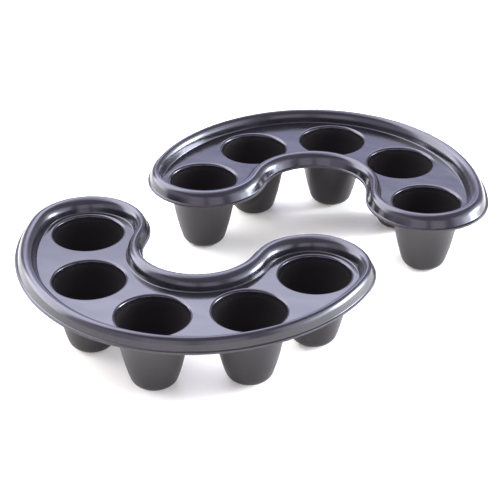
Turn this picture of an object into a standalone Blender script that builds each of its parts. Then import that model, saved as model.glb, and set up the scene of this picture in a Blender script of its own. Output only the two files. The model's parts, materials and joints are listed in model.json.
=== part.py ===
"""A pair of five-cup finger-soak trays for manicures, in metres, +Z up, standing on z = 0.

Each tray is one plastic moulding: a flat C-shaped deck with a raised round rim, and five tapered
cups that hang from the deck and are also the tray's legs. The two trays are the same moulding.
The tray's own frame has the middle cup's axis at the origin and the mouth of the C towards +Y.
"""

import math

import bmesh
import bpy
from mathutils import Vector

# The cups
CUP_RADIUS = 0.018  # inside, at the mouth
CUP_PITCH = 0.0464  # between the axes of neighbouring cups
CUP_BEARINGS = (25.0, 65.0)  # degrees from +X: middle cup to the next one, and that one to the last
CUP_TAPER = 0.164  # radius lost for each unit of depth
CUP_BELLY = 0.142  # further share of the mouth radius lost at the foot, where the wall curves in
CUP_BELLY_POWER = 4
LIP_RADIUS = 0.0015  # round edge between deck and cup
FOOT_FILLET = 0.0034  # inside, between the wall and the floor of a cup

# The shell
DECK_HEIGHT = 0.0384  # top of the deck above the table
WALL = 0.0011

# The deck's edge, as (radius, turn in degrees) of tangent arcs from the middle of the outer side
# to the tip of the horn. The bay's own arc closes the outline.
DECK_MARGIN = 0.0204  # middle cup's axis to the deck's edge on the outer side
OUTER_ARCS = ((0.0780, 30.0), (0.0870, 55.0), (0.0219, 184.0))

# The rim's section, outwards from the deck's edge and up from the deck
CREST_OUT = 0.0058
CREST_RISE = 0.0068
CREST_DEPTH = 0.0062  # half height of the oval crest
INNER_SIDE = (0.0042, 12.0)  # half width of the oval, and degrees from upright where it is steepest
OUTER_SIDE = (0.00365, 17.0)
RIM_FILLET = 0.0006  # at the foot of both sides
FLANGE_OUT = 0.0109
FLANGE_RISE = 0.0006
RIM_SHIFT = Vector((0.0009, 0.0))  # the deck's edge sits this far off the cups' line of symmetry
RIM_LEAN = Vector((-0.19, 0.12))  # and the rim is wider on one side, by this share of the way out

# Where the trays stand: position of the middle cup and turn about +Z in degrees
FRONT_TRAY = (-0.0171, -0.1031, 0.0)
REAR_TRAY = (0.0096, 0.1025, 187.5)

# Facets
CUP_SIDES = 18
WALL_ROWS = 3
ARC_STEP = 14.0  # degrees for each facet of a tight arc of the outline
LONG_FACET = 0.018  # longest facet of a wide arc of the outline
SECTION_STEP = 45.0  # degrees for each facet of the rim's section
OVAL_FACETS = 3

BLACK_PLASTIC = (0.012, 0.012, 0.014, 1.0)
PLASTIC_ROUGHNESS = 0.32


def clear_scene():
    for obj in list(bpy.data.objects):
        bpy.data.objects.remove(obj, do_unlink=True)


def plastic(name):
    material = bpy.data.materials.new(name)
    material.use_nodes = True
    shader = material.node_tree.nodes["Principled BSDF"]
    shader.inputs["Base Color"].default_value = BLACK_PLASTIC
    shader.inputs["Roughness"].default_value = PLASTIC_ROUGHNESS
    shader.inputs["Metallic"].default_value = 0.0
    return material


def cup_centres():
    """The five cups' axes, from one horn of the C to the other."""
    right, at = [], Vector((0.0, 0.0))
    for bearing in map(math.radians, CUP_BEARINGS):
        at = at + CUP_PITCH * Vector((math.cos(bearing), math.sin(bearing)))
        right.append(at)
    left = [Vector((-point.x, point.y)) for point in reversed(right)]
    return left + [Vector((0.0, 0.0))] + right


def along_arc(start, heading, radius, turn, side):
    """Points and headings along an arc that bends left (side 1) or right (side -1), without its end."""
    facets = max(1, round(math.degrees(turn) / ARC_STEP), math.ceil(radius * turn / LONG_FACET))
    centre = start + side * radius * Vector((-math.sin(heading), math.cos(heading)))
    rows = []
    for i in range(facets + 1):
        at = heading + side * turn * i / facets
        rows.append((centre + side * radius * Vector((math.sin(at), -math.cos(at))), at))
    return rows[:-1], rows[-1]


def deck_outline():
    """Points and outward normals round the deck's edge, anticlockwise from the middle of the outer side."""
    point, heading = Vector((0.0, -DECK_MARGIN)), 0.0
    half = []
    for radius, degrees in OUTER_ARCS:
        rows, (point, heading) = along_arc(point, heading, radius, math.radians(degrees), 1)
        half += rows
    bay_radius = -point.x / math.sin(heading)
    rows, end = along_arc(point, heading, bay_radius, heading - math.pi, -1)
    half += rows + [end]
    right = [(p, Vector((math.sin(h), -math.cos(h)))) for p, h in half]
    left = [(Vector((-p.x, p.y)), Vector((-n.x, n.y))) for p, n in reversed(right[1:-1])]
    return right + left


def section_arc(centre, radius, start, end):
    count = max(1, math.ceil(abs(end - start) / math.radians(SECTION_STEP)))
    angles = [start + (end - start) * i / count for i in range(count + 1)]
    return [(centre[0] + radius * math.cos(a), centre[1] + radius * math.sin(a)) for a in angles]


def rim_side(shape, base):
    """(away, up) points from the crest's top down one side to the flat at its foot."""
    half_width, lean = shape[0], math.radians(shape[1])
    steepest = math.atan2(half_width, CREST_DEPTH * math.tan(lean))
    oval = []
    for i in range(OVAL_FACETS + 1):
        at = steepest * i / OVAL_FACETS
        oval.append((half_width * math.sin(at), CREST_RISE - CREST_DEPTH * (1 - math.cos(at))))
    drop = oval[-1][1] - base - RIM_FILLET * (1 - math.sin(lean))
    hub = (oval[-1][0] + drop * math.tan(lean) + RIM_FILLET * math.cos(lean), base + RIM_FILLET)
    return oval + section_arc(hub, RIM_FILLET, math.pi + lean, math.pi * 1.5)


def rim_section():
    """(out, up) points from the deck, over the crest, to the flange's edge."""
    inner = [(CREST_OUT - away, up) for away, up in reversed(rim_side(INNER_SIDE, 0.0))]
    outer = [(CREST_OUT + away, up) for away, up in rim_side(OUTER_SIDE, FLANGE_RISE)]
    return inner + outer[1:] + [(FLANGE_OUT, FLANGE_RISE)]


def cup_section():
    """(radius, depth) points from the deck down the inside of a cup to the edge of its floor."""
    floor = DECK_HEIGHT - WALL
    lip = section_arc((CUP_RADIUS + LIP_RADIUS, LIP_RADIUS), LIP_RADIUS, -math.pi / 2, -math.pi)

    def wall_radius(depth):
        return CUP_RADIUS * (1 - CUP_BELLY * (depth / DECK_HEIGHT) ** CUP_BELLY_POWER) - CUP_TAPER * depth

    knee = floor - FOOT_FILLET
    drop = (knee - LIP_RADIUS) / WALL_ROWS
    wall = [(wall_radius(LIP_RADIUS + drop * i), LIP_RADIUS + drop * i) for i in range(1, WALL_ROWS + 1)]
    fillet = section_arc((wall[-1][0] - FOOT_FILLET, knee), FOOT_FILLET, 0.0, math.pi / 2)
    return lip + wall + fillet[1:]


def ring_of(mesh, points):
    return [mesh.verts.new(point) for point in points]


def bridge(mesh, outer, inner):
    """Quads between two rings of the same length."""
    count = len(outer)
    for i in range(count):
        j = (i + 1) % count
        mesh.faces.new((outer[i], outer[j], inner[j], inner[i]))


def ring_edges(mesh, ring):
    return [mesh.edges.get((a, b)) or mesh.edges.new((a, b)) for a, b in zip(ring, ring[1:] + ring[:1])]


def add_rim(mesh):
    """The rim's rings. Returns the ring in the deck."""
    outline = deck_outline()
    rings = []
    for out, up in rim_section():
        shift = RIM_SHIFT + RIM_LEAN * out
        places = [p + n * out + shift for p, n in outline]
        rings.append(ring_of(mesh, [(q.x, q.y, DECK_HEIGHT + up) for q in places]))
    for outer, inner in zip(rings[1:], rings):
        bridge(mesh, outer, inner)
    return rings[0]


def add_cup(mesh, centre):
    """One cup's inside. Returns the ring of its mouth in the deck."""
    rings = []
    for radius, depth in cup_section():
        circle = [
            (
                centre.x + radius * math.cos(math.tau * i / CUP_SIDES),
                centre.y + radius * math.sin(math.tau * i / CUP_SIDES),
                DECK_HEIGHT - depth,
            )
            for i in range(CUP_SIDES)
        ]
        rings.append(ring_of(mesh, circle))
    for outer, inner in zip(rings, rings[1:]):
        bridge(mesh, outer, inner)
    mesh.faces.new(rings[-1])
    return rings[0]


def tray_skin():
    """The tray's upper surface as an open mesh: deck, rim and the insides of the cups, facing up."""
    mesh = bmesh.new()
    edges = ring_edges(mesh, add_rim(mesh))
    for centre in cup_centres():
        edges += ring_edges(mesh, add_cup(mesh, centre))
    bmesh.ops.triangle_fill(mesh, edges=edges, use_beauty=True, normal=(0.0, 0.0, 1.0))
    bmesh.ops.recalc_face_normals(mesh, faces=mesh.faces)
    deck = max(mesh.faces, key=lambda face: abs(face.normal.z) * face.calc_area())
    if deck.normal.z < 0:
        bmesh.ops.reverse_faces(mesh, faces=mesh.faces)
    skin = bpy.data.meshes.new("tray_skin")
    mesh.to_mesh(skin)
    mesh.free()
    skin.shade_smooth()
    skin.set_sharp_from_angle(angle=math.radians(50))
    return skin


def add_tray(name, skin, place):
    """A tray: the skin thickened downwards to the wall, standing at its place."""
    tray = bpy.data.objects.new(name, skin)
    bpy.context.scene.collection.objects.link(tray)
    tray.location = (place[0], place[1], 0.0)
    tray.rotation_euler = (0.0, 0.0, math.radians(place[2]))
    shell = tray.modifiers.new("Wall", "SOLIDIFY")
    shell.thickness = WALL
    shell.offset = -1.0
    shell.use_even_offset = True
    shell.use_rim = True
    return tray


def main():
    clear_scene()
    skin = tray_skin()
    skin.materials.append(plastic("black_plastic"))
    add_tray("front_tray", skin, FRONT_TRAY)
    add_tray("rear_tray", skin, REAR_TRAY)


main()
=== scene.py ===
"""The looks of a pair of five-cup finger-soak trays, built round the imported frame. Metres, +Z up."""

import json
import math

import bmesh
import bpy
import numpy as np
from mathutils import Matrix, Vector


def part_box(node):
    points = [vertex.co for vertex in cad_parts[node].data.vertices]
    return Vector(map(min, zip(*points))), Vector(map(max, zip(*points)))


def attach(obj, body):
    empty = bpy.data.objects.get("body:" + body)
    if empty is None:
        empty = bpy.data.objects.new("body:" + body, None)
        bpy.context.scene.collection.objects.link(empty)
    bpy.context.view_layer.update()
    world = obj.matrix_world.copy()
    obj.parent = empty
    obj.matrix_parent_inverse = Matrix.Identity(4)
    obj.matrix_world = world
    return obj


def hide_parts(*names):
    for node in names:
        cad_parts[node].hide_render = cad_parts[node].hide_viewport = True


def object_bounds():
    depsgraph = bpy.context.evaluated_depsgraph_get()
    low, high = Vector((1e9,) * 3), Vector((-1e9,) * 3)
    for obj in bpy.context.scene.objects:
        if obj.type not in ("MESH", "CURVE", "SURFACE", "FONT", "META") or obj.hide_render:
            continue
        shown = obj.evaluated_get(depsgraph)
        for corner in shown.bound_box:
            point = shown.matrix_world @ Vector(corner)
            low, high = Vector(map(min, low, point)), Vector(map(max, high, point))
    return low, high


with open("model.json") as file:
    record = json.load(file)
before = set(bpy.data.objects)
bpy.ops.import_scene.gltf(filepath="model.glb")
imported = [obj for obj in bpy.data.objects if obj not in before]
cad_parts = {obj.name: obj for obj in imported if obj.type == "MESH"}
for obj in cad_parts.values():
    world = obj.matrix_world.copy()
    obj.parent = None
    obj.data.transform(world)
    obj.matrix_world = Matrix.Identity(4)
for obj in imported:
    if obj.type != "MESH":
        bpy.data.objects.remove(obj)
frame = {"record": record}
cad_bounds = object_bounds()

# The moulding. The middle cup's axis is the origin of a tray's own frame, and the bay opens to +Y.
CUP_RADIUS = 0.018  # inside, at the mouth
CUP_PITCH = 0.0464  # between the axes of neighbouring cups
CUP_BEARINGS = (25.0, 65.0)  # degrees from +X: middle cup to the next one, and that one to the last
CUP_TAPER = 0.164  # radius lost for each unit of depth
CUP_BELLY = 0.142  # further share of the mouth radius lost at the foot, where the wall curves in
CUP_BELLY_POWER = 4
LIP_RADIUS = 0.0015  # round edge between deck and cup
FOOT_FILLET = 0.0034  # inside, between the wall and the floor of a cup
WALL = 0.0011  # thickness of the sheet
DECK_MARGIN = 0.0204  # middle cup's axis to the deck's edge on the outer side
OUTER_ARCS = ((0.0780, 30.0), (0.0870, 55.0), (0.0219, 184.0))  # radius, turn in degrees
EASING = 0.0030  # how gently one arc of the outline runs into the next
CREST_OUT = 0.0058
CREST_RISE = 0.0068
CREST_DEPTH = 0.0062  # half height of the oval crest
INNER_SIDE = (0.0042, 12.0)  # half width of the oval, and degrees from upright where it is steepest
OUTER_SIDE = (0.00365, 17.0)
RIM_FILLET = 0.0006  # at the foot of both sides
FLANGE_OUT = 0.0109
FLANGE_RISE = 0.0006
EDGE_RADIUS = 0.0002  # round edges of the trimmed flange
RIM_SHIFT = np.array((0.0009, 0.0))  # the deck's edge sits this far off the cups' line of symmetry
RIM_LEAN = np.array((-0.19, 0.12))  # and the rim is wider on one side, by this share of the way out
SUPPORT = 0.00015  # a narrow flat strip of deck beside each rounding, which keeps the shading flat
DECK_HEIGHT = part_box("front_tray")[1].z - CREST_RISE  # top of the deck above the table

# Facets
OUTLINE_STEP = 0.0016
FINE_STEPS = 16  # in each step of the outline, while its easing is worked out
SECTION_DEGREES = 9.0
OVAL_ROWS = 9
CUP_SIDES = 88
WALL_ROWS = 22
FLOOR_ROWS = 5

UPPER, UNDER = 0, 1  # material indices


def tray_place(side):
    """Where the record's feet put a tray: its middle cup's axis and its turn about +Z."""
    feet = {m["name"]: m["pos_m"] for m in frame["record"]["mounts"] if m["name"].startswith(side)}
    first, middle, last = (Vector(feet[f"{side}_foot_{i}"][:2]) for i in (1, 3, 5))
    across = last - first
    return np.array(middle), math.atan2(across.y, across.x)


def cup_centres():
    """The five cups' axes, from one horn of the C to the other."""
    right, at = [], np.zeros(2)
    for bearing in np.radians(CUP_BEARINGS):
        at = at + CUP_PITCH * np.array((math.cos(bearing), math.sin(bearing)))
        right.append(at)
    left = [point * (-1, 1) for point in reversed(right)]
    return [*left, np.zeros(2), *right]


def bay_arc():
    """Radius and turn of the bay's half arc, which closes the outline on the line of symmetry."""
    x, heading = 0.0, 0.0
    for radius, degrees in OUTER_ARCS:
        turned = heading + math.radians(degrees)
        x += radius * (math.sin(turned) - math.sin(heading))
        heading = turned
    return -x / math.sin(heading), heading - math.pi


def deck_outline():
    """Points and outward normals round the deck's edge, anticlockwise, with eased curvature."""
    radius, turn = bay_arc()
    half = [(r, math.radians(d)) for r, d in OUTER_ARCS] + [(-radius, turn)]
    lengths = [abs(r) * t for r, t in half]
    whole = 2 * sum(lengths)
    count = int(whole / OUTLINE_STEP) * FINE_STEPS
    step = whole / count
    s = (np.arange(count) + 0.5) * step
    s = np.minimum(s, whole - s)
    on_arc = np.searchsorted(np.cumsum(lengths), s).clip(max=len(half) - 1)
    curvature = np.array([1 / r for r, _ in half])[on_arc]
    wave = np.fft.rfftfreq(count, step)
    curvature = np.fft.irfft(np.fft.rfft(curvature) * np.exp(-2 * (math.pi * wave * EASING) ** 2), count)
    curvature *= math.tau / (curvature.sum() * step)
    heading = np.cumsum(curvature) * step - curvature * step / 2
    heading -= heading[0] - curvature[0] * step / 2
    along = np.stack((np.cos(heading), np.sin(heading)), 1)
    along -= along.mean(0)
    points = np.cumsum(along, 0) * step - along * step / 2 + (0.0, -DECK_MARGIN)
    normals = np.stack((np.sin(heading), -np.cos(heading)), 1)
    return points[::FINE_STEPS], normals[::FINE_STEPS]


def arc(centre, radius, start, end):
    """Rows of (x, y, normal x, normal y). The normal points away from the centre."""
    count = max(2, math.ceil(abs(end - start) / math.radians(SECTION_DEGREES)))
    at = np.linspace(start, end, count + 1)
    out = np.stack((np.cos(at), np.sin(at)), 1)
    return np.hstack((np.array(centre) + radius * out, out))


def flipped(rows):
    """The same rows with the normals on the other side."""
    return rows * (1, 1, -1, -1)


def rim_side(shape, base):
    """One side of the rim, from the crest's top to the flat at its foot.

    Rows of (away from the crest, up, normal away, normal up).
    """
    half_width, lean = shape[0], math.radians(shape[1])
    steepest = math.atan2(half_width, CREST_DEPTH * math.tan(lean))
    at = np.linspace(0.0, steepest, OVAL_ROWS + 1)
    places = np.stack((half_width * np.sin(at), CREST_RISE - CREST_DEPTH * (1 - np.cos(at))), 1)
    normals = np.stack((np.sin(at) / half_width, np.cos(at) / CREST_DEPTH), 1)
    normals /= np.hypot(normals[:, 0], normals[:, 1])[:, None]
    drop = places[-1, 1] - base - RIM_FILLET * (1 - math.sin(lean))
    hub = (places[-1, 0] + drop * math.tan(lean) + RIM_FILLET * math.cos(lean), base + RIM_FILLET)
    fillet = flipped(arc(hub, RIM_FILLET, math.pi + lean, 1.5 * math.pi))
    return np.vstack((np.hstack((places, normals)), fillet))


def rim_section():
    """Upper side of the rim, as (out, up, normal out, normal up) from the deck to the flange's edge."""
    inner = rim_side(INNER_SIDE, 0.0)[::-1] * (-1, 1, -1, 1) + (CREST_OUT, 0, 0, 0)
    outer = rim_side(OUTER_SIDE, FLANGE_RISE) + (CREST_OUT, 0, 0, 0)
    strip = inner[:1] - (SUPPORT, 0, 0, 0)
    last = np.array([(FLANGE_OUT - 2 * EDGE_RADIUS, FLANGE_RISE, 0.0, 1.0)])
    return np.vstack((strip, inner, outer[1:], last))


def flange_edge():
    """Round the trimmed edge from the flange's upper side to its lower side."""
    out = FLANGE_OUT - EDGE_RADIUS
    upper = arc((out, FLANGE_RISE - EDGE_RADIUS), EDGE_RADIUS, math.pi / 2, 0.0)
    lower = arc((out, FLANGE_RISE - WALL + EDGE_RADIUS), EDGE_RADIUS, 0.0, -math.pi / 2)
    return np.vstack((upper, lower))


def cup_section():
    """Inside of a cup, as (radius, height over the deck, normals) from the deck to the floor's middle."""
    floor = WALL - DECK_HEIGHT
    lip = arc((CUP_RADIUS + LIP_RADIUS, -LIP_RADIUS), LIP_RADIUS, math.pi / 2, math.pi)
    knee = floor + FOOT_FILLET
    up = np.linspace(-LIP_RADIUS, knee, WALL_ROWS + 1)[1:]
    belly = (-up / DECK_HEIGHT) ** CUP_BELLY_POWER
    radius = CUP_RADIUS * (1 - CUP_BELLY * belly) + CUP_TAPER * up
    slope = CUP_TAPER + CUP_RADIUS * CUP_BELLY * CUP_BELLY_POWER * belly / -up
    normal = np.stack((-np.ones_like(slope), slope), 1) / np.hypot(1, slope)[:, None]
    wall = np.hstack((np.stack((radius, up), 1), normal))
    lean = math.atan2(normal[-1, 1], -normal[-1, 0])
    reach = FOOT_FILLET / (1 - math.sin(lean))
    hub = radius[-1] - reach * math.cos(lean)
    fillet = flipped(arc((hub, floor + reach), reach, -lean, -math.pi / 2))[1:]
    flat = [(hub * share, floor, 0.0, 1.0) for share in np.linspace(1, 0, FLOOR_ROWS + 1)[1:]]
    start = np.array([(CUP_RADIUS + LIP_RADIUS + SUPPORT, 0.0, 0.0, 1.0)])
    return np.vstack((start, lip, wall, fillet, flat))


def under(rows):
    """The other side of the sheet."""
    low = rows.copy()
    low[:, :2] -= rows[:, 2:] * WALL
    low[:, 2:] *= -1
    return low


def bridge(mesh, first, second, material):
    """Quads between two rings of the same length."""
    count = len(first)
    for i in range(count):
        j = (i + 1) % count
        face = mesh.faces.new((first[i], first[j], second[j], second[i]))
        face.material_index = material


def rim_rings(mesh, section, outline, material):
    """Rings of the rim along the outline. Returns the first and last ring."""
    points, normals = outline
    rings = []
    for out, up in section[:, :2]:
        places = points + normals * out + RIM_SHIFT + RIM_LEAN * out
        rings.append([mesh.verts.new((x, y, DECK_HEIGHT + up)) for x, y in places])
    for first, second in zip(rings, rings[1:]):
        bridge(mesh, first, second, material)
    return rings[0], rings[-1]


def cup_rings(mesh, section, centre, material):
    """Rings of a cup's wall, closed at its middle. Returns the ring in the deck."""
    turn = np.arange(CUP_SIDES) * math.tau / CUP_SIDES
    circle = np.stack((np.cos(turn), np.sin(turn)), 1)
    rings = []
    for radius, up in section[:-1, :2]:
        rings.append([mesh.verts.new((x, y, DECK_HEIGHT + up)) for x, y in centre + circle * radius])
    for first, second in zip(rings, rings[1:]):
        bridge(mesh, first, second, material)
    hub = mesh.verts.new((*centre, DECK_HEIGHT + section[-1, 1]))
    last = rings[-1]
    for i, vertex in enumerate(last):
        face = mesh.faces.new((vertex, last[(i + 1) % CUP_SIDES], hub))
        face.material_index = material
    return rings[0]


def ring_edges(mesh, ring):
    return [mesh.edges.get((a, b)) for a, b in zip(ring, ring[1:] + ring[:1])]


def fill_deck(mesh, rings, material):
    """Flat faces between the rim's ring and the cups' rings."""
    edges = [edge for ring in rings for edge in ring_edges(mesh, ring)]
    filled = bmesh.ops.triangle_fill(mesh, edges=edges, use_beauty=True, normal=(0.0, 0.0, 1.0))
    for face in filled["geom"]:
        if isinstance(face, bmesh.types.BMFace):
            face.material_index = material


def tray_mesh(name):
    """The whole closed sheet: upper side, trimmed edge and underside."""
    mesh = bmesh.new()
    outline = deck_outline()
    upper, cup = rim_section(), cup_section()
    top, top_edge = rim_rings(mesh, upper, outline, UPPER)
    bottom, bottom_edge = rim_rings(mesh, under(upper), outline, UNDER)
    edge_start, edge_end = rim_rings(mesh, flange_edge(), outline, UNDER)
    bridge(mesh, top_edge, edge_start, UPPER)
    bridge(mesh, edge_end, bottom_edge, UNDER)
    tops, bottoms = [top], [bottom]
    for centre in cup_centres():
        tops.append(cup_rings(mesh, cup, centre, UPPER))
        bottoms.append(cup_rings(mesh, under(cup), centre, UNDER))
    fill_deck(mesh, tops, UPPER)
    fill_deck(mesh, bottoms, UNDER)
    bmesh.ops.recalc_face_normals(mesh, faces=mesh.faces)
    data = bpy.data.meshes.new(name)
    mesh.to_mesh(data)
    mesh.free()
    data.shade_smooth()
    return data


def add_tray(side, materials):
    """One tray's moulding, which takes the place of its CAD node."""
    node = f"{side}_tray"
    data = tray_mesh(f"{side}_moulding")
    centre, turn = tray_place(side)
    places = np.empty(len(data.vertices) * 3, np.float32)
    data.vertices.foreach_get("co", places)
    places = places.reshape(-1, 3)
    c, s = math.cos(turn), math.sin(turn)
    places[:, :2] = places[:, :2] @ np.array(((c, s), (-s, c))) + centre
    data.vertices.foreach_set("co", places.ravel())
    data.update()
    for material in materials:
        data.materials.append(material)
    tray = bpy.data.objects.new(f"{side}_moulding", data)
    bpy.context.scene.collection.objects.link(tray)
    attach(tray, node)
    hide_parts(node)


# Shader nodes


def connect(tree, socket, value):
    """Gives a node's input its value, which may be another node's output."""
    if isinstance(value, bpy.types.NodeSocket):
        tree.links.new(value, socket)
    else:
        socket.default_value = value


def set_inputs(tree, node, values):
    for name, value in values.items():
        connect(tree, node.inputs[name], value)


def math_node(tree, operation, *values):
    """A Math node on numbers and sockets. Returns its output."""
    node = tree.nodes.new("ShaderNodeMath")
    node.operation = operation
    for socket, value in zip(node.inputs, values):
        connect(tree, socket, value)
    return node.outputs[0]


def plus(tree, first, second):
    return math_node(tree, "ADD", first, second)


def minus(tree, first, second):
    return math_node(tree, "SUBTRACT", first, second)


def times(tree, first, second):
    return math_node(tree, "MULTIPLY", first, second)


def vector_node(tree, operation, *values):
    """A Vector Math node on vectors and sockets. Returns its output."""
    node = tree.nodes.new("ShaderNodeVectorMath")
    node.operation = operation
    for socket, value in zip(node.inputs, values):
        connect(tree, socket, value)
    return node.outputs["Value" if operation == "DOT_PRODUCT" else "Vector"]


def height_of(tree, place):
    node = tree.nodes.new("ShaderNodeSeparateXYZ")
    connect(tree, node.inputs["Vector"], place)
    return node.outputs["Z"]


def ramp(tree, value, start, end):
    """Smoothly from 0 at start to 1 at end."""
    node = tree.nodes.new("ShaderNodeMapRange")
    node.interpolation_type = "SMOOTHSTEP"
    set_inputs(tree, node, {"Value": value, "From Min": start, "From Max": end})
    return node.outputs["Result"]


def between(tree, value, start, end, low, high):
    """Low at start, high at end, straight between and held outside."""
    node = tree.nodes.new("ShaderNodeMapRange")
    limits = {"From Min": start, "From Max": end, "To Min": low, "To Max": high}
    set_inputs(tree, node, {"Value": value, **limits})
    return node.outputs["Result"]


def noise(tree, place, scale, detail=2.0, roughness=0.5):
    """Noise from 0 to 1. Scale is in features for each metre."""
    node = tree.nodes.new("ShaderNodeTexNoise")
    set_inputs(tree, node, {"Vector": place, "Scale": scale, "Detail": detail, "Roughness": roughness})
    return node.outputs[0]


def stretched(tree, place, turn, scale):
    """Coordinates turned about +Z and scaled, for marks that run one way."""
    node = tree.nodes.new("ShaderNodeMapping")
    set_inputs(tree, node, {"Vector": place, "Rotation": (0.0, 0.0, math.radians(turn)), "Scale": scale})
    return node.outputs["Vector"]


def scratches(tree, place, turn, width):
    """1 on hairlines that run roughly one way and come in patches, 0 elsewhere."""
    field = noise(tree, stretched(tree, place, turn, (9.0, 260.0, 9.0)), 1.0, 1.0)
    off = math_node(tree, "ABSOLUTE", minus(tree, field, 0.5))
    line = minus(tree, 1.0, ramp(tree, off, 0.0, width))
    patches = ramp(tree, noise(tree, place, 45.0), 0.56, 0.72)
    return times(tree, line, patches)


def blend(tree, factor, first, second):
    """From the first colour at 0 to the second at 1. Either may be a socket."""
    node = tree.nodes.new("ShaderNodeMix")
    node.data_type = "RGBA"
    connect(tree, node.inputs["Factor"], factor)
    for socket, colour in zip((node.inputs[6], node.inputs[7]), (first, second)):
        connect(tree, socket, (*colour, 1.0) if isinstance(colour, tuple) else colour)
    return node.outputs[2]


def add_bump(tree, height, distance, below=None):
    """Bumps as high as the distance where height is 1, on top of the bumps below, if any."""
    node = tree.nodes.new("ShaderNodeBump")
    set_inputs(tree, node, {"Strength": 1.0, "Distance": distance, "Height": height})
    if below is not None:
        connect(tree, node.inputs["Normal"], below)
    return node.outputs["Normal"]


def new_material(name):
    """A material, its node tree, its shader's inputs and the object's coordinates."""
    material = bpy.data.materials.new(name)
    material.use_nodes = True
    tree = material.node_tree
    place = tree.nodes.new("ShaderNodeTexCoord").outputs["Object"]
    return material, tree, tree.nodes["Principled BSDF"].inputs, place


# Materials. Each pair of colours is the two ends of a blend.
DECK_COLOURS = ((0.0065, 0.0060, 0.0068), (0.0095, 0.0088, 0.0095))
CUP_COLOURS = ((0.0110, 0.0096, 0.0090), (0.0360, 0.0310, 0.0280))  # painted light and shade, mostly by depth: darker at the mouth, lighter towards the floor
SCRATCH_COLOUR = (0.05, 0.048, 0.050)
UNDERSIDE_COLOURS = ((0.0118, 0.0096, 0.0104), (0.0206, 0.0172, 0.0178))
SCUFF_COLOUR = (0.060, 0.057, 0.055)
TABLE_COLOURS = ((0.95, 0.94, 0.76), (0.96, 0.95, 0.78))

# Heights over the deck between which the upper side changes
DRAWN = (-0.0005, -0.0040)  # glossy deck to the duller wall that was drawn down from it
# Depths over which the cups' painted light and shade runs, from near the mouth towards the floor
CUP_DEPTH = (-0.0050, -0.0260)
HANDLED = (0.0010, 0.0030)  # deck to the rim, which handling has dulled a little

SCUFFED_TO = 0.006  # height of the scuffs at the cups' feet
TURNING_PITCH = 0.0011  # between the turning rings on the cups' outsides
SHEET_WAVES = 60.0  # slow waves of the sheet, for each metre


def over_deck(tree, height, levels):
    """Smoothly from 0 at the first level over the deck to 1 at the second."""
    return ramp(tree, height, DECK_HEIGHT + levels[0], DECK_HEIGHT + levels[1])


def glossy_plastic():
    """The upper side: glossy deck and rim, duller where the sheet is drawn down into the cups."""
    material, tree, inputs, place = new_material("glossy_black_plastic")
    height = height_of(tree, place)
    drawn = over_deck(tree, height, DRAWN)
    depth = over_deck(tree, height, CUP_DEPTH)
    handled = over_deck(tree, height, HANDLED)
    clouds = noise(tree, place, 38.0, 4.0, 0.6)
    smudges = noise(tree, stretched(tree, place, 28.0, (40.0, 150.0, 90.0)), 1.0, 3.0, 0.6)
    lines = math_node(
        tree, "MAXIMUM", scratches(tree, place, 20.0, 0.010), scratches(tree, place, -50.0, 0.008)
    )

    # The cups' insides get painted light and shade by depth, mixed with a little random cloudy tone.
    cup_painted_light_and_tone = plus(tree, times(tree, depth, 0.8), times(tree, clouds, 0.2))
    colour = blend(tree, drawn, blend(tree, clouds, *DECK_COLOURS), blend(tree, cup_painted_light_and_tone, *CUP_COLOURS))
    connect(tree, inputs["Base Color"], blend(tree, times(tree, lines, 0.04), colour, SCRATCH_COLOUR))

    roughness = between(tree, smudges, 0.35, 0.75, 0.13, 0.20)
    for mask, added in ((handled, 0.04), (lines, 0.04), (drawn, 0.15)):
        roughness = plus(tree, roughness, times(tree, mask, added))
    connect(tree, inputs["Roughness"], roughness)
    connect(tree, inputs["Specular IOR Level"], between(tree, drawn, 0.0, 1.0, 0.5, 0.08))

    waves = add_bump(tree, noise(tree, place, SHEET_WAVES, 1.0), 0.00005)
    peel = add_bump(tree, noise(tree, place, 900.0, 2.0), 0.000004, waves)
    connect(tree, inputs["Normal"], add_bump(tree, lines, -0.000001, peel))
    return material


def satin_plastic():
    """The underside, which took the mould's turned and blasted face."""
    material, tree, inputs, place = new_material("satin_black_plastic")
    height = height_of(tree, place)
    clouds = noise(tree, place, 55.0, 4.0, 0.6)
    grain = noise(tree, place, 2400.0, 2.0)
    foot = times(tree, ramp(tree, height, SCUFFED_TO, 0.0), ramp(tree, grain, 0.45, 0.7))
    marks = times(tree, math_node(tree, "MAXIMUM", scratches(tree, place, 75.0, 0.010), foot), 0.4)

    colour = blend(tree, clouds, *UNDERSIDE_COLOURS)
    connect(tree, inputs["Base Color"], blend(tree, marks, colour, SCUFF_COLOUR))
    roughness = between(tree, clouds, 0.3, 0.7, 0.36, 0.48)
    connect(tree, inputs["Roughness"], plus(tree, roughness, times(tree, marks, 0.3)))
    connect(tree, inputs["Specular IOR Level"], between(tree, height, 0.0, 0.035, 0.25, 0.5))

    waves = add_bump(tree, noise(tree, place, SHEET_WAVES, 1.0), 0.00025)
    wander = times(tree, noise(tree, place, 30.0), 3.0)
    rings = math_node(tree, "SINE", plus(tree, times(tree, height, math.tau / TURNING_PITCH), wander))
    turned = add_bump(tree, rings, 0.0000035, waves)
    connect(tree, inputs["Normal"], add_bump(tree, grain, 0.000012, turned))
    return material


def table_white():
    material, tree, inputs, place = new_material("white_table")
    clouds = noise(tree, place, 9.0, 3.0)
    connect(tree, inputs["Base Color"], blend(tree, clouds, *TABLE_COLOURS))
    connect(tree, inputs["Roughness"], between(tree, clouds, 0.3, 0.7, 0.46, 0.54))
    inputs["Specular IOR Level"].default_value = 0.2
    inputs["Emission Color"].default_value = (1.0, 1.0, 0.96, 1.0)
    inputs["Emission Strength"].default_value = 0.12
    return material


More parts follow.
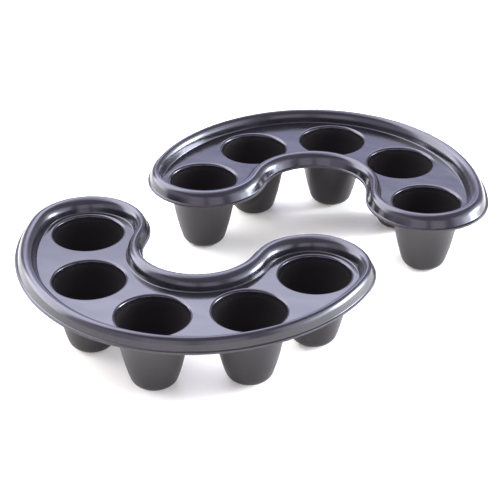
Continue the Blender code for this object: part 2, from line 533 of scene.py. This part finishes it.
# The studio. A light's bearing is clockwise from straight behind the trays in the view.
VIEW_BEARING = 19.486  # degrees the camera stands round from the front, towards +X
VIEW_PITCH = 30.68  # degrees it looks down
CAMERA_PLACE = (0.2364, -0.6803, 0.4474)
LENS = 113.37
CLIP_END = 20.0

FLOOR_RADIUS = 8.0
FLOOR_SIDES = 64
FLOOR_GAP = 0.0001  # between the floor and the feet

# A tall narrow lamp that is aimed at the trays and isn't seen in them
KEY_BEARING = 80.0
KEY_ELEVATION = 19.0
KEY_DISTANCE = 1.5
KEY_SIZE = (0.03, 1.0)
KEY_POWER = 24.0
KEY_COLOUR = (0.91, 1.0, 1.2)

# Soft walls of light round the trays: bearings, elevations and softness in degrees, and radiance
UNDER_FLOOR = -20.0  # an elevation below the floor's far edge
SOFT_LIGHTS = (
    ((-93.0, -50.0), (UNDER_FLOOR, 66.0), 7.0, (8.0, 8.0, 9.4)),  # tall window on the left
    ((-50.0, -22.0), (28.0, 66.0), 6.0, (8.0, 8.0, 9.8)),  # its upper part, further round
    ((-22.0, 20.0), (30.3, 62.0), 1.5, (5.0, 5.1, 6.6)),  # high panel straight behind
    ((-120.0, 45.0), (65.0, 100.0), 6.0, (3.0, 3.0, 3.9)),  # overhead
    ((-13.0, 12.0), (UNDER_FLOOR, 29.0), 2.5, (0.6, 0.65, 1.3)),  # faint wall under the high panel
    ((-150.0, -95.0), (UNDER_FLOOR, 38.0), 8.0, (1.0, 0.95, 1.25)),  # faint wall on the near left
    ((55.0, 130.0), (UNDER_FLOOR, 34.0), 9.0, (3.0, 3.1, 3.9)),  # wall on the right
    ((60.0, 112.0), (UNDER_FLOOR, 12.0), 6.0, (6.0, 6.4, 7.8)),  # glow round the bright window in it
    ((70.0, 93.0), (UNDER_FLOOR, 18.0), 4.0, (34.0, 36.0, 43.0)),  # that window
    ((148.0, 176.5), (UNDER_FLOOR, 32.0), 3.0, (1.8, 1.65, 2.1)),  # two faint walls behind the camera
    ((-176.5, -148.0), (UNDER_FLOOR, 32.0), 3.0, (1.8, 1.65, 2.1)),
)
ROOM_LIGHT = (0.75, 0.7, 0.95)  # radiance from everywhere, to which theirs is added


def add_camera():
    camera = bpy.data.objects.new("camera", bpy.data.cameras.new("camera"))
    camera.data.lens = LENS
    camera.data.clip_end = CLIP_END
    camera.location = CAMERA_PLACE
    camera.rotation_euler = (math.radians(90 - VIEW_PITCH), 0.0, math.radians(VIEW_BEARING))
    bpy.context.scene.collection.objects.link(camera)
    bpy.context.scene.camera = camera


def add_key_lamp():
    turn = math.radians(VIEW_BEARING - KEY_BEARING)
    lift = math.radians(KEY_ELEVATION)
    towards = Vector((-math.sin(turn) * math.cos(lift), math.cos(turn) * math.cos(lift), math.sin(lift)))
    light = bpy.data.lights.new("key", "AREA")
    light.shape = "RECTANGLE"
    light.size, light.size_y = KEY_SIZE
    light.energy = KEY_POWER
    light.color = KEY_COLOUR
    lamp = bpy.data.objects.new("key", light)
    lamp.location = towards * KEY_DISTANCE
    lamp.rotation_euler = towards.to_track_quat("Z", "Y").to_euler()
    lamp.visible_camera = False
    lamp.visible_glossy = False
    bpy.context.scene.collection.objects.link(lamp)


def add_floor():
    mesh = bmesh.new()
    bmesh.ops.create_circle(mesh, cap_ends=True, radius=FLOOR_RADIUS, segments=FLOOR_SIDES)
    data = bpy.data.meshes.new("floor")
    mesh.to_mesh(data)
    mesh.free()
    data.materials.append(table_white())
    floor = bpy.data.objects.new("floor", data)
    floor.location.z = cad_bounds[0].z - FLOOR_GAP
    bpy.context.scene.collection.objects.link(floor)


def window(tree, value, limits, softness):
    """1 between the limits, in degrees, and 0 outside them."""
    low, high, soft = math.radians(limits[0]), math.radians(limits[1]), math.radians(softness)
    rise = ramp(tree, value, low - soft, low + soft)
    fall = ramp(tree, value, high - soft, high + soft)
    return times(tree, rise, minus(tree, 1.0, fall))


def add_world():
    """The walls of light, as a background that depends on direction alone."""
    world = bpy.data.worlds.new("studio")
    world.use_nodes = True
    tree = world.node_tree
    direction = tree.nodes.new("ShaderNodeTexCoord").outputs["Generated"]
    turn = math.radians(VIEW_BEARING)
    right = vector_node(tree, "DOT_PRODUCT", direction, (math.cos(turn), math.sin(turn), 0.0))
    ahead = vector_node(tree, "DOT_PRODUCT", direction, (-math.sin(turn), math.cos(turn), 0.0))
    height = vector_node(tree, "DOT_PRODUCT", direction, (0.0, 0.0, 1.0))
    bearing = math_node(tree, "ARCTAN2", right, ahead)
    elevation = math_node(tree, "ARCSINE", height)
    total = ROOM_LIGHT
    for bearings, elevations, softness, radiance in SOFT_LIGHTS:
        sideways = window(tree, bearing, bearings, softness)
        upwards = window(tree, elevation, elevations, softness)
        mask = times(tree, sideways, upwards)
        spread = tree.nodes.new("ShaderNodeCombineXYZ")
        for socket in spread.inputs:
            connect(tree, socket, mask)
        extra = vector_node(tree, "MULTIPLY", spread.outputs["Vector"], radiance)
        total = vector_node(tree, "ADD", extra, total)
    connect(tree, tree.nodes["Background"].inputs["Color"], total)
    bpy.context.scene.world = world


bpy.context.scene.view_settings.view_transform = "Standard"
add_camera()
add_world()
add_floor()
add_key_lamp()

plastics = (glossy_plastic(), satin_plastic())
for side in ("front", "rear"):
    add_tray(side, plastics)
